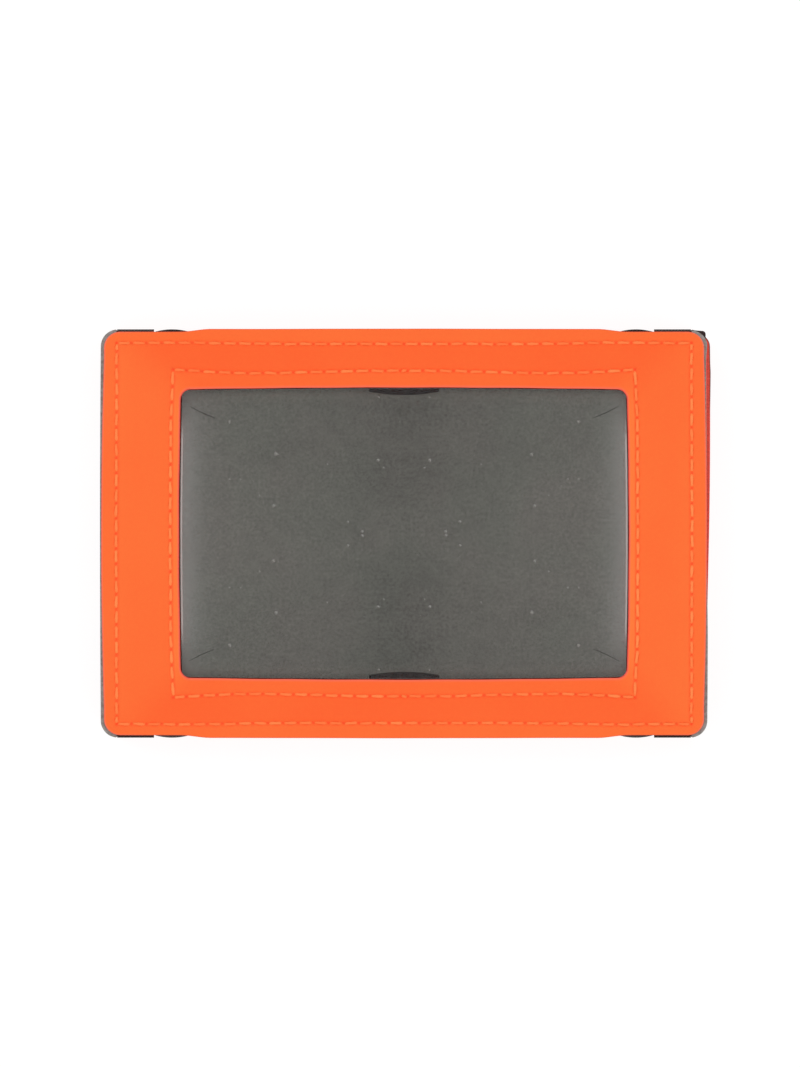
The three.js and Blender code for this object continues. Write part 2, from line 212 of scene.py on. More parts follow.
def math(operation, *values, clamp=False):
    made = node("Math", dict(enumerate(values)), operation=operation, use_clamp=clamp)
    return made.outputs[0]


def chain(operation, first, *others):
    for other in others:
        first = math(operation, first, other)
    return first


def decay(value, rate):
    """Falls from 1 as the value grows from 0."""
    return math("POWER", 2.718, math("MULTIPLY", value, -rate))


def ramp(value, low, high, to_low=0.0, to_high=1.0):
    inputs = {0: value, 1: low, 2: high, 3: to_low, 4: to_high}
    return node("MapRange", inputs, interpolation_type="SMOOTHSTEP").outputs[0]


def spread(value, low, high):
    """A noise value spread over a range."""
    return ramp(value, 0.3, 0.7, low, high)


def mix(factor, a, b, kind="MIX"):
    inputs = {0: factor, 6: a, 7: b}
    return node("Mix", inputs, data_type="RGBA", blend_type=kind).outputs[2]


def grey(level):
    return node("CombineColor", {0: level, 1: level, 2: level}).outputs[0]


def noise(where, scale, detail=2.0, roughness=0.5):
    inputs = {"Vector": where, "Scale": scale, "Detail": detail, "Roughness": roughness}
    return node("TexNoise", inputs).outputs["Fac"]


def mark(tree, name):
    return node("Attribute", tree=tree, attribute_name=name).outputs["Fac"]


def bump(height, distance, strength):
    inputs = {"Height": height, "Distance": distance, "Strength": strength}
    return node("Bump", inputs).outputs["Normal"]


def coordinates(tree):
    return node("TexCoord", tree=tree).outputs["Object"]


def from_middle(where):
    """Distances from the middle, across and up."""
    parts = node("SeparateXYZ", {0: where})
    return math("ABSOLUTE", parts.outputs[0]), math("ABSOLUTE", parts.outputs[1])


def surface(name, roughness, specular):
    """A material with its tree, its shader and its coordinates."""
    made = bpy.data.materials.new(name)
    made.use_nodes = True
    tree = made.node_tree
    shader = tree.nodes["Principled BSDF"]
    shader.inputs["Roughness"].default_value = roughness
    shader.inputs["Specular IOR Level"].default_value = specular
    return made, tree, shader, coordinates(tree)


def coat(shader, colour, normal):
    """Links a shader's colour and bumps."""
    for key, value in (("Base Color", colour), ("Normal", normal)):
        shader.id_data.links.new(value, shader.inputs[key])


def bare_tree(material):
    """A material's node tree without its usual shader."""
    material.use_nodes = True
    tree = material.node_tree
    tree.nodes.remove(tree.nodes["Principled BSDF"])
    return tree


# Materials
def leather_material(name, paints):
    """Smooth leather with fine pores and raw cut edges, with painted shade in red grooves along its seams,
    in its needle holes and along one edge at the upper right, and a painted highlight on its rounded rims.
    """
    made, tree, shader, where = surface(name, 0.55, 0.2)
    drift = spread(noise(where, 60.0, 3.0), -0.07, 0.07)
    grain = noise(where, 1900.0, 3.0, 0.6)
    fleck = spread(grain, -0.06, 0.06)
    tone = math("ADD", mark(tree, "tone"), math("ADD", drift, fleck), clamp=True)
    colour = mix(tone, paints["red"], paints["yellow"])
    fibres = spread(noise(where, 3200.0, 4.0, 0.7), 0.75, 1.1)
    raw = mix(1.0, paints["cut"], grey(fibres), "MULTIPLY")
    # Painted shade in the seam grooves, the needle holes and an edge at the upper right, and a painted
    # highlight on the rims; the cut edge keeps its own raw colour
    for key in ("seam_shade", "hole", "rim", "cut", "edge_shade"):
        colour = mix(mark(tree, key), colour, raw if key == "cut" else paints[key])
    cells = node("TexVoronoi", {"Vector": where, "Scale": 1700.0}, feature="SMOOTH_F1")
    pores = math("MULTIPLY", cells.outputs["Distance"], 0.6)
    height = math("ADD", pores, math("MULTIPLY", grain, 0.6))
    coat(shader, colour, bump(height, 0.00005, 0.35))
    tree.links.new(ramp(grain, 0.2, 0.8, 0.47, 0.62), shader.inputs["Roughness"])
    return made


def thread_material(name, light, dark):
    """Twisted thread: fine slanting fibres, and some stitches paler than others, by their own tone and by
    painted light.
    """
    made, tree, shader, where = surface(name, 0.5, 0.25)
    fibres = noise(where, 5200.0, 3.0, 0.65)
    tone = math("MULTIPLY", spread(fibres, 0.75, 1.1), mark(tree, "pale"), clamp=True)
    coat(shader, mix(tone, dark, light), bump(fibres, 0.00004, 0.5))
    return made


def layer_material(name, light, dark, scale, height):
    """A matt sheet layer with fine mottling."""
    made, _, shader, where = surface(name, 0.85, 0.15)
    mottle = noise(where, scale, 4.0, 0.65)
    patches = noise(where, scale * 0.08, 2.0)
    blend = math("ADD", math("MULTIPLY", mottle, 0.7), math("MULTIPLY", patches, 0.3))
    coat(shader, mix(ramp(blend, 0.38, 0.62), dark, light), bump(mottle, height, 0.5))
    return made


def lining_material(name, warm, cool):
    """The grey back of the window pocket, with painted light and shade in soft light and dark lobes, as the
    film's slight bulge gives.
    """
    made, _, shader, where = surface(name, 0.8, 0.1)
    across, up = from_middle(where)
    # Painted light and shade: lighter lobes and ends, a darker patch and crown in the middle, and a lighter
    # band below the top edge that offsets the frame's shadow there
    reach = math("SUBTRACT", 1.0, decay(across, 95.0))
    edge = math("MULTIPLY", reach, 12.5 * MM)
    lobe = ramp(math("SUBTRACT", up, edge), -3 * MM, 4 * MM, 1.0, 0.0)
    shaded_wedge = chain("MULTIPLY", ramp(across, 0.0, 11 * MM, 1.0, 0.0), ramp(up, 1 * MM, 12 * MM))
    crown = chain("MULTIPLY", ramp(across, 4 * MM, 21 * MM, 1.0, 0.0), ramp(up, 16 * MM, 22.5 * MM))
    rim = ramp(up, 22.5 * MM, 25.5 * MM)
    fine = noise(where, 1900.0, 4.0, 0.75)
    level = chain(
        "ADD",
        0.93,
        math("MULTIPLY", lobe, 0.06),
        math("MULTIPLY", shaded_wedge, -0.13),
        ramp(across, 4 * MM, 30 * MM, 0.0, 0.11),
        math("MULTIPLY", rim, 0.20),
        math("MULTIPLY", crown, -0.05),
        spread(fine, -0.21, 0.21),
        spread(noise(where, 420.0, 2.0, 0.6), -0.05, 0.05),
        spread(noise(where, 90.0, 2.0), -0.03, 0.03),
    )
    tint = mix(ramp(noise(where, 75.0, 2.0), 0.35, 0.65), cool, warm)
    coat(shader, mix(1.0, tint, grey(level), "MULTIPLY"), bump(fine, 0.00005, 0.4))
    return made


def window_gap(out, along, half_out, half_along):
    """How far inside the window's bowed side a point lies, by its distances from the middle."""
    share = math("POWER", math("DIVIDE", along, half_along * MM), 2.0)
    bow = math("MULTIPLY", share, WINDOW_BOW * MM)
    return math("SUBTRACT", math("SUBTRACT", (half_out + WINDOW_BOW) * MM, bow), out)


def film_material(name):
    """Clear film: gloss by angle, a faint haze, a painted reflection that grows towards its two ends, a
    painted highlight in a pale line where it bends, and a dark line of painted shadow under the cut edge
    round it."""
    made = bpy.data.materials.new(name)
    tree = bare_tree(made)
    where = coordinates(tree)
    across, up = from_middle(where)
    gap_x = window_gap(across, up, WINDOW[0], WINDOW[1])
    gap = math("MINIMUM", gap_x, window_gap(up, across, WINDOW[1], WINDOW[0]))
    # Painted reflection, lighter towards the window's two ends
    end_reflection = chain("MULTIPLY", decay(gap_x, 480.0), 0.14, ramp(up, 16 * MM, 25.5 * MM, 1.0, 0.3))
    fleck = ramp(noise(where, 2400.0, 2.0, 0.7), 0.62, 0.80, 0.0, 0.02)
    # A pale line of painted highlight where the film bends
    glint_start = ramp(gap_x, 0.12 * MM, 0.20 * MM)
    glint_stop = ramp(gap_x, 0.40 * MM, 0.58 * MM, 1.0, 0.0)
    line = chain("MULTIPLY", glint_start, glint_stop, 0.26, ramp(up, 15 * MM, 21 * MM, 1.0, 0.0))
    # Painted shadow: a dark red line under the leather's cut edge, stronger towards the corners
    shade = ramp(gap, 0.08 * MM, 0.22 * MM, 0.4, 0.0)
    shade = math("MULTIPLY", shade, ramp(up, 16 * MM, 22 * MM, 1.0, 2.2))
    # The veil's share holds the faint haze and flecks, with the painted reflection, highlight and shadow
    haze = math("MAXIMUM", chain("ADD", 0.007, end_reflection, fleck, line), shade)
    inner = ramp(gap, 0.12 * MM, 0.22 * MM)
    tint = mix(inner, (0.05, 0.008, 0.006, 1.0), (0.90, 0.91, 0.88, 1.0))
    normal = bump(noise(where, 55.0, 2.0), 0.0006, 0.35)
    clear = node("BsdfTransparent", tree=tree)
    veil = node("BsdfDiffuse", {"Color": tint})
    gloss = node("BsdfGlossy", {"Roughness": 0.07, "Normal": normal})
    bend = node("Fresnel", {"IOR": 1.2, "Normal": normal}).outputs[0]
    body = node("MixShader", {0: haze, 1: clear.outputs[0], 2: veil.outputs[0]})
    whole = node("MixShader", {0: bend, 1: body.outputs[0], 2: gloss.outputs[0]})
    tree.links.new(whole.outputs[0], tree.nodes["Material Output"].inputs["Surface"])
    return made


def elastic_material(name, light, dark):
    """Black woven elastic: ribs along it and a fine cross weave, with painted sheen that lightens the
    crests.
    """
    made, tree, shader, _ = surface(name, 0.8, 0.2)
    along = mark(tree, "along")
    across = mark(tree, "across")
    where = node("CombineXYZ", {0: across, 1: along}).outputs[0]
    weave = math("SINE", math("MULTIPLY", along, 12.0))
    ribs = math("SINE", math("MULTIPLY", across, 11.2))
    fuzz = noise(where, 5.0, 3.0, 0.7)
    height = math("ADD", math("MULTIPLY", weave, ribs), fuzz)
    # Colour follows the weave's height: the weave's own texture, with painted sheen on the crests
    coat(shader, mix(ramp(height, -0.6, 1.4), dark, light), bump(height, 0.00008, 0.6))
    shader.inputs["Sheen Weight"].default_value = 0.1
    return made


def fleck_material(name, colour):
    made = bpy.data.materials.new(name)
    made.use_nodes = True
    shader = made.node_tree.nodes["Principled BSDF"]
    shader.inputs["Base Color"].default_value = colour
    shader.inputs["Roughness"].default_value = 0.9
    return made


# Leather colours, with those of painted shade in seam grooves, needle holes and an edge at the upper right,
# and of a painted highlight on the rims
LEATHER_PAINTS = {
    "red": (0.980, 0.118, 0.020, 1.0),
    "yellow": (0.980, 0.186, 0.035, 1.0),
    "seam_shade": (1.0, 0.096, 0.018, 1.0),
    "hole": (0.98, 0.058, 0.012, 1.0),
    "rim": (0.98, 0.166, 0.098, 1.0),
    "cut": (0.90, 0.092, 0.060, 1.0),
    "edge_shade": (0.10, 0.030, 0.026, 1.0),
}
ORANGE = leather_material("orange_leather", LEATHER_PAINTS)
THREAD = thread_material("orange_thread", (1.0, 0.259, 0.068, 1.0), (1.0, 0.157, 0.032, 1.0))
WELT = layer_material("pale_welt", (0.35, 0.36, 0.345, 1.0), (0.23, 0.225, 0.205, 1.0), 1500.0, 0.00006)
BOARD = layer_material("dark_board", (0.042, 0.028, 0.028, 1.0), (0.024, 0.015, 0.015, 1.0), 1100.0, 0.00005)
LINING = lining_material("grey_lining", (0.1265, 0.1198, 0.107, 1.0), (0.1235, 0.1222, 0.107, 1.0))
CLEAR = film_material("clear_film")
ELASTIC = elastic_material("black_elastic", (0.058, 0.034, 0.029, 1.0), (0.016, 0.009, 0.008, 1.0))


# Meshes, all in mm until they are stored
def piece(name, points, faces, material, body, nodes, marks=None):
    """Makes a smooth piece that rides on a body, or stays where it is when given more than a body's name,
    and stands for the named solids.
    """
    mesh = bpy.data.meshes.new(name)
    mesh.from_pydata((np.asarray(points) * MM).tolist(), [], faces)
    work = bmesh.new()
    work.from_mesh(mesh)
    bmesh.ops.recalc_face_normals(work, faces=work.faces)
    work.to_mesh(mesh)
    work.free()
    mesh.polygons.foreach_set("use_smooth", np.ones(len(mesh.polygons), bool))
    for key, values in (marks or {}).items():
        layer = mesh.attributes.new(key, "FLOAT", "POINT")
        layer.data.foreach_set("value", np.asarray(values, np.float32))
    mesh.materials.append(material)
    made = bpy.data.objects.new(name, mesh)
    bpy.context.scene.collection.objects.link(made)
    if isinstance(body, str):
        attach(made, body)
    else:
        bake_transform(made)
    if nodes:
        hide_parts(*nodes)
    return made


def join_rings(count, length, closed):
    """Quads between rings of equal length, and from the last ring to the first if closed."""
    faces = []
    for i in range(count if closed else count - 1):
        a = i * length
        b = (i + 1) % count * length
        for j in range(length):
            k = (j + 1) % length
            faces.append((a + j, a + k, b + k, b + j))
    return faces


def stacked(rows):
    """Points of a stack of rings, and the values that go with each point. A row holds a ring's flat points,
    its level and its values."""
    flats, *values = zip(*rows)
    level, *values = [np.repeat(value, len(flats[0])) for value in values]
    return np.column_stack([np.concatenate(flats), level]), values


def capped_rings(count, length):
    """Quads between rings, and a face over the first ring and the last."""
    last = (count - 1) * length
    return join_rings(count, length, False) + [tuple(range(length)), tuple(range(last, last + length))]


def xy(x, y):
    """Points from their x and y. One may be a single number."""
    return np.stack(np.broadcast_arrays(x, y), 1)


def arc_points(x, y, radius, angle):
    return xy(x + radius * np.cos(angle), y + radius * np.sin(angle))


def rounded(half_x, half_y, radius, corner=8):
    """Points of a rounded rectangle, the same number at every size."""
    x, y = half_x - radius, half_y - radius
    across = np.linspace(-x, x, RING[0] + 1)
    down = np.linspace(y, -y, RING[1] + 1)
    turn = np.linspace(np.pi / 2, 0, corner + 1)[1:-1]
    arc = arc_points(0, 0, radius, turn)
    flip = arc[:, ::-1]
    sides = [
        xy(across, half_y),
        arc + (x, y),
        xy(half_x, down),
        flip * (1, -1) + (x, -y),
        xy(-across, -half_y),
        arc * (-1, -1) + (-x, -y),
        xy(-half_x, -down),
        flip * (-1, 1) + (-x, y),
    ]
    return np.concatenate(sides)


def smooth(value, low, high):
    """0 below low and 1 above high, with an eased rise in between."""
    t = np.clip((value - low) / (high - low), 0, 1)
    return t * t * (3 - 2 * t)


def between(value, pairs):
    """A value read off a short table of pairs."""
    return np.interp(value, *zip(*pairs))


def bowed(share):
    """1 in a span's middle and 0 at its ends."""
    return np.clip(1 - share**2, 0, 1)


def waver(points, size, pitch, phase):
    """A slow, even wander of a hand-guided edge or seam."""
    x, y = points[:, 0], points[:, 1]
    a = np.sin(x / pitch + 1.3 * phase) + 0.6 * np.sin(y / pitch * 1.7 + phase)
    b = np.sin(y / pitch + 2.1 * phase) + 0.6 * np.sin(x / pitch * 1.9 - phase)
    return size * xy(a, b)


def cover_ring(inset, sway=0.0, radius=COVER[2]):
    """The cover's outline: its ends bow out, and its sides rise between the bands."""
    half_x, half_y, _ = COVER
    ring = rounded(half_x - inset, half_y - inset, max(radius - inset, 0.05))
    x, y = ring[:, 0], ring[:, 1]
    ends = COVER_END_BOW * bowed(y / COVER_END_SPAN)
    rise = COVER_SIDE_RISE * (1 - smooth(np.abs(x), *COVER_SIDE_STEP))
    rise += COVER_SIDE_CROWN * (1 - smooth(np.abs(x), 0.0, COVER_CROWN_SPAN))
    at_end = smooth(np.abs(x), half_x - radius - inset, half_x - inset)
    at_side = smooth(np.abs(y), half_y - radius - inset, half_y - inset)
    shift = xy(np.sign(x) * ends * at_end, np.sign(y) * rise * at_side)
    return ring + shift + waver(ring, sway, 6.0, 0.4)


def back_ring(inset):
    """The back cover's outline, with its tighter corner."""
    return cover_ring(inset, radius=BACK_CORNER)


def window_ring(outset):
    """The window's outline, bowed out a little on every side."""
    half_x, half_y, radius = WINDOW
    ring = rounded(half_x + outset, half_y + outset, radius + outset)
    x, y = ring[:, 0], ring[:, 1]
    bow_x = WINDOW_BOW * bowed(y / half_y) * (np.abs(x) > half_x - radius)
    bow_y = WINDOW_BOW * bowed(x / half_x) * (np.abs(y) > half_y - radius)
    return ring + xy(np.sign(x) * bow_x, np.sign(y) * bow_y) + waver(ring, WINDOW_SWAY, 4.0, 1.7)


def panel_ring(inset):
    """The panel's outline, with a shallow recess for each band, which fades out inwards."""
    half_x, half_y, radius = PANEL
    ring = rounded(half_x - inset, half_y - inset, max(radius - inset, 0.05))
    x, y = ring[:, 0], ring[:, 1]
    low, high = RECESS
    inside = smooth(np.abs(x), low - RECESS_EASE, low) * (1 - smooth(np.abs(x), high, high + RECESS_EASE))
    at_side = np.abs(y) > half_y - inset - 0.6
    drop = np.sign(y) * RECESS_DEPTH * inside * at_side * (1 - smooth(inset, 0.5, 2.0))
    return ring - xy(0.0, drop)


def pocket_ring(inset):
    """The back pocket's outline: three straight sides, and a mouth with a round thumb notch."""
    half_x, half_y, _ = COVER
    side, foot, mouth = half_x - inset, half_y - inset, POCKET_MOUTH - inset
    notch = NOTCH_RADIUS + inset
    reach = np.sqrt(notch**2 - (NOTCH_CENTRE - mouth) ** 2)
    corner = max(BACK_CORNER - inset, 0.05)
    soft = max(0.5 - inset, 0.03)
    angle = np.arccos(reach / notch)
    arc = np.linspace(np.pi + angle, 2 * np.pi - angle, 97)
    turn = np.linspace(np.pi / 2, 0, 9)
    arm = arc_points(0, 0, 1, turn)
    swing = arm[:, ::-1]
    x = np.linspace(-side + soft, -reach, 121)[:-1]
    y = np.linspace(mouth - soft, -foot + corner, 181)[1:-1]
    base = np.linspace(side - corner, -side + corner, 301)[1:-1]
    parts = [
        xy(x, mouth),
        arc_points(0, NOTCH_CENTRE, notch, arc),
        xy(-x[::-1], mouth),
        soft * arm[1:] + (side - soft, mouth - soft),
        xy(side, y),
        corner * swing * (1, -1) + (side - corner, -foot + corner),
        xy(base, -foot),
        corner * arm * (-1, -1) + (-side + corner, -foot + corner),
        xy(-side, y[::-1]),
        soft * swing[:-1] * (-1, 1) + (-side + soft, mouth - soft),
    ]
    return np.concatenate(parts)


# Seams
def bent(points, window):
    """Moves points by the sides of a seam's rectangle onto its slightly bent line."""
    half_x, half_y = WINDOW_SEAM if window else OUTER_SEAM
    x, y = np.abs(points[:, 0]), np.abs(points[:, 1])
    end = between(y, WINDOW_ENDS if window else OUTER_ENDS)
    side = between(x, WINDOW_SIDES if window else OUTER_SIDES)
    out_x = (end - half_x) * smooth(x, half_x - 0.6, half_x - 0.2)
    out_y = (side - half_y) * smooth(y, half_y - 0.6, half_y - 0.2)
    return np.sign(points) * xy(x + out_x, y + out_y)


def seam_ring(window):
    """The line of a seam, as a ring."""
    return bent(rounded(*(WINDOW_SEAM if window else OUTER_SEAM), 0.2), window)


def seam_holes(window):
    """Needle holes round a seam, clockwise from its upper left corner."""
    half_x, half_y = WINDOW_SEAM if window else OUTER_SEAM
    pitch_x, first_x, pitch_y, first_y = WINDOW_STITCH if window else OUTER_STITCH

    def side(half, pitch, first):
        out = np.arange(first, half - pitch / 2, pitch)
        return np.concatenate([[-half], np.unique(np.concatenate([-out, out]))])

    x, y = side(half_x, pitch_x, first_x), -side(half_y, pitch_y, first_y)
    holes = np.concatenate([
        xy(x, half_y),
        xy(half_x, y),
        xy(-x, -half_y),
        xy(-half_x, -y),
    ])
    return bent(holes, window)


def even(path, steps):
    """Evenly spaced points along a path."""
    gaps = np.hypot(*np.diff(path, axis=0).T)
    length = np.concatenate([[0], np.cumsum(gaps)])
    at = np.linspace(0, length[-1], steps + 1)
    return xy(np.interp(at, length, path[:, 0]), np.interp(at, length, path[:, 1]))


def mouth_line(steps):
    """Points along the mouth's seam, round the notch, evenly spaced."""
    level = POCKET_MOUTH - MOUTH_SEAM_INSET
    radius = NOTCH_RADIUS + MOUTH_SEAM_INSET
    reach = np.sqrt(radius**2 - (NOTCH_CENTRE - level) ** 2)
    angle = np.arccos(reach / radius)
    arc = np.linspace(np.pi + angle, 2 * np.pi - angle, 200)
    path = np.concatenate([
        [(-MOUTH_SEAM_END, level), (-reach, level)],
        arc_points(0, NOTCH_CENTRE, radius, arc),
        [(reach, level), (MOUTH_SEAM_END, level)],
    ])
    return even(path, steps)


def three_sides(start, turn, steps):
    """Evenly spaced points up or down one end of the outer seam, along a side and back."""
    x = OUTER_SEAM[0]
    return even(np.array([(-x, start), (-x, turn), (x, turn), (x, start)]), steps)


def line_distance(points, line):
    """How far each point is from a line of points."""
    best = np.full(len(points), 1e9)
    for start in range(0, len(line), 40):
        part = line[start : start + 40]
        gap = np.hypot(points[:, None, 0] - part[None, :, 0], points[:, None, 1] - part[None, :, 1])
        best = np.minimum(best, gap.min(1))
    return best


def relief(points, lines, holes, sides):
    """Sinks a surface along its seams and at the needle holes, and marks painted shade beside each seam:
    inside it at the ends and outside it, fainter, along the long sides, and in the needle holes."""
    depth = np.zeros(len(points))
    seam_shade = np.zeros(len(points))
    for line, (inset, at_end) in zip(lines, sides):
        gap = line_distance(points, line)
        depth = np.maximum(depth, SEAM_DEPTH * np.exp(-((gap / 0.5) ** 2)))
        near = np.exp(-(((gap - 0.34) / 0.15) ** 2)) * np.where(at_end, 0.5, 0.22)
        seam_shade = np.maximum(seam_shade, near * (np.where(at_end, inset, -inset) > 0))
    hole = np.exp(-((line_distance(points, holes) / 0.24) ** 2))
    return depth + HOLE_DEPTH * hole, seam_shade, hole


def in_rectangle(points, half_x, half_y):
    """How far inside a rectangle each point lies, and whether one of its ends is the nearest side."""
    to_end = half_x - np.abs(points[:, 0])
    to_side = half_y - np.abs(points[:, 1])
    return np.minimum(to_end, to_side), to_end < to_side


def stitch(a, b):
    """One stroke of two-ply thread from hole to hole, and how pale it is: partly its own random tone, partly
    painted light.
    """
    turn = np.linspace(0, 2 * np.pi, STITCH_SIDES, endpoint=False)
    s = np.linspace(0, 1, STITCH_RINGS)
    lift = STITCH_ARCH * (1 - np.abs(2 * s - 1) ** 3.2) - STITCH_SINK
    run = b - a
    pitch = np.hypot(*run)
    # Strokes that run up and down are painted paler, as light from the sides catches them more; the random
    # part is the thread's own tone
    pale = 0.40 + 0.45 * abs(run[1]) / pitch + 0.18 * rng.normal()
    lean = rng.normal(0, 0.045)
    along = run / pitch
    across = np.array([-along[1], along[0]])
    centre = a + np.outer(0.075 + 0.85 * s, run) + np.outer((2 * s - 1) * lean + 0.02 * rng.normal(), across)
    phase = rng.uniform(0, np.pi)
    rings = []
    for i in range(STITCH_RINGS):
        lobe = 1 + 0.11 * np.cos(2 * turn - 7.5 * s[i] + phase)
        taper = 0.82 + 0.18 * np.sin(np.pi * s[i])
        wide = STITCH_WIDTH * lobe * taper * np.cos(turn)
        tall = STITCH_HEIGHT * lobe * taper * np.sin(turn)
        rings.append(np.column_stack([centre[i] + np.outer(wide, across), lift[i] + tall]))
    return np.concatenate(rings), np.clip(pale, 0.1, 1)


def stitches(name, holes, level, body, node_name, under=False, place=None):
    """A seam's thread, in short slightly raised strokes from hole to hole."""
    tube = capped_rings(STITCH_RINGS, STITCH_SIDES)
    size = STITCH_RINGS * STITCH_SIDES
    points, faces, pales = [], [], []
    for a, b in zip(holes[:-1], holes[1:]):
        start = len(points) * size
        stroke, pale = stitch(a, b)
        points.append(stroke)
        pales.append(np.full(size, pale))
        faces += [tuple(start + i for i in face) for face in tube]
    points = np.concatenate(points)
    if place:
        points[:, :2] = place(points[:, :2])
    points[:, 2] = level - points[:, 2] if under else level + points[:, 2]
    piece(name, points, faces, THREAD, body, [node_name], {"pale": np.concatenate(pales)})


# Leather
def cover_rings():
    """The front cover's rings, from its outer edge over both seams to the window and back underneath, with
    each point's shares of cut edge and of the rim's painted highlight."""
    low, high = FRONT_LEATHER
    outer_seam, window_seam = seam_ring(False), seam_ring(True)
    brim, frame_edge = cover_ring(EDGE, COVER_SWAY), window_ring(WINDOW_EDGE)
    steps_out = (0.0, 0.04, 0.12, 0.26, 0.42, 0.58, 0.70, 0.80, 0.88, 0.94, 1.0)
    steps_mid = (
        0.02, 0.045, 0.075, 0.11, 0.16, 0.24, 0.36, 0.5, 0.64, 0.76, 0.84, 0.89, 0.925, 0.955, 0.98, 1.0,
    )
    steps_in = (0.07, 0.15, 0.24, 0.34, 0.46, 0.6, 0.75, 0.9, 1.0)
    rows = []

    def add(flat, level, cut, rim=0.0):
        rows.append((flat, level, cut, rim))

    for t in steps_out:
        add(brim + (outer_seam - brim) * t, high, 0.0, 0.4 * (t == 0))
    for t in steps_mid:
        add(outer_seam + (window_seam - outer_seam) * t, high, 0.0)
    for t in steps_in:
        add(window_seam + (frame_edge - window_seam) * t, high, 0.0, 0.3 * (t == 1))
    for a in np.linspace(0, np.pi / 2, 6)[1:]:
        drop = WINDOW_EDGE * (1 - np.cos(a))
        add(window_ring(WINDOW_EDGE * (1 - np.sin(a))), high - drop, np.sin(a) ** 2, 0.8)
    for outset, rise in ((0.02, 0.35), (0.05, 0.04), (0.3, 0.0)):
        add(window_ring(outset), low + rise, 1.0)
    add(brim, low, 1.0)
    for inset, rise in ((0.06, 0.06), (0.0, 0.3)):
        add(cover_ring(inset, COVER_SWAY), low + rise, 1.0)
    for a in np.linspace(np.pi / 2, 0, 6)[:-1]:
        drop = EDGE * (1 - np.cos(a))
        add(cover_ring(EDGE * (1 - np.sin(a)), COVER_SWAY), high - drop, np.sin(a) ** 4, 0.8)
    return rows


def front_leather():
    """The cover with its window and its two sunk seams."""
    high = FRONT_LEATHER[1]
    rows = cover_rings()
    points, (cut, rim) = stacked(rows)
    flat = points[:, :2]
    holes = np.concatenate([seam_holes(False), seam_holes(True)])
    outside, inside = in_rectangle(flat, *OUTER_SEAM), in_rectangle(flat, *WINDOW_SEAM)
    depth, seam_shade, hole = relief(flat, (seam_ring(False), seam_ring(True)), holes, (outside, inside))
    top = (points[:, 2] > high - 0.2).astype(float)
    swell = 0.02 * (np.sin(flat[:, 0] / 9.0) + np.sin(flat[:, 1] / 7.0 + flat[:, 0] / 23.0))
    points[:, 2] -= top * (depth + 0.04 - swell)

    # Painted light: the ends are lighter and yellower than the long sides, most of all beside the window
    at_end = smooth(np.abs(flat[:, 0]) - OUTER_SEAM[0] - np.abs(flat[:, 1]) + OUTER_SEAM[1], -8.0, 3.0)
    by_window = smooth(inside[0], -0.1, 0.4)
    middle = 0.08 + 0.36 * at_end + 0.08 * at_end * (1 - smooth(outside[0], 0.5, 3.5))
    tone = np.where(outside[0] < 0, 0.44, middle) * (1 - by_window) + (0.26 + 0.72 * at_end) * by_window

    # Round the window the raw cut edge shows fully at its ends and faintly along its sides. Round the
    # outside it shows more along the long sides, as painted shade, and the rims' painted highlight only at
    # the ends, where the rounded edge catches the light
    at_window = inside[0] > 0.3
    raw = np.where(inside[1], np.clip(cut * 2.6, 0, 1), 0.4 * cut)
    raw = np.where(at_window, raw, (0.9 - 0.4 * at_end) * cut)
    rim = rim * np.where(at_window, 1.0, at_end)
    faces = join_rings(len(rows), len(rows[0][0]), True)
    marks = {"seam_shade": seam_shade * top, "hole": 0.9 * hole * top, "cut": raw, "tone": tone, "rim": rim}
    nodes = ["front_leather"]
    piece("front_leather_cover", points, faces, ORANGE, "front_panel", nodes, marks)


def plate_rows(low, high):
    """Inset, level and share of cut edge of a leather sheet's rings, from its upper face down."""
    rows = [(inset, high, 0.0) for inset in FACE_INSETS]
    for a in np.linspace(0, np.pi / 2, 6):
        rows.append((EDGE * (1 - np.sin(a)), high - EDGE * (1 - np.cos(a)), np.sin(a) ** 2))
    for a in np.linspace(np.pi / 2, 0, 4):
        rows.append((EDGE * (1 - np.sin(a)), low + EDGE * (1 - np.cos(a)), 1.0))
    return rows + [(FACE_INSETS[0], low, 1.0)]


def plate(name, ring, levels, body, node_name, lines, holes, sides, under=False, place=None, edge_shade=0.0):
    """A leather sheet with round edges and sunk seams on its upper face, or on its lower face if under.
    Its last argument is how much painted shade darkens its edge at the upper right."""
    low, high = levels
    rows = [(ring(d), level, cut, level > high - 0.1, d < 0.15) for d, level, cut in plate_rows(low, high)]
    points, (cut, top, edge) = stacked(rows)
    flat = points[:, :2]
    depth, seam_shade, hole = relief(flat, lines, holes, [side(flat) for side in sides])
    # Painted shade along the edge at the upper right
    painted = edge_shade * edge * smooth(flat[:, 0], 40.0, 50.0) * smooth(flat[:, 1], 19.0, 26.0)
    points[:, 2] -= top * (depth + 0.02)
    if under:
        points[:, 2] = low + high - points[:, 2]
    if place:
        points[:, :2] = place(points[:, :2])
    tone = np.full(len(points), 0.28)
    marks = {"seam_shade": seam_shade * top, "hole": 0.9 * hole * top, "cut": cut, "tone": tone, "edge_shade": painted}
    faces = capped_rings(len(rows), len(rows[0][0]))
    piece(name, points, faces, ORANGE, body, [node_name], marks)


def slip(points):
    """The back cover sits a little askew, so that its edge shows past the front at the upper right."""
    moved = points.copy()
    y = points[:, 1]
    weight = smooth(points[:, 0], 10.0, 45.0)
    moved[:, 0] += between(y, BACK_SLIP) * weight
    moved[:, 1] -= BACK_DROP * weight * smooth(y, 20.0, 33.0)
    return moved


def by_outer_seam(points):
    return in_rectangle(points, *OUTER_SEAM)


def by_mouth_seam(points):
    """How far below the mouth's seam each point lies. No point counts as nearest to an end."""
    arc = np.hypot(points[:, 0], points[:, 1] - NOTCH_CENTRE) - NOTCH_RADIUS - MOUTH_SEAM_INSET
    line = POCKET_MOUTH - MOUTH_SEAM_INSET - points[:, 1]
    return np.where(np.abs(points[:, 0]) < 10.5, arc, line), np.zeros(len(points), bool)


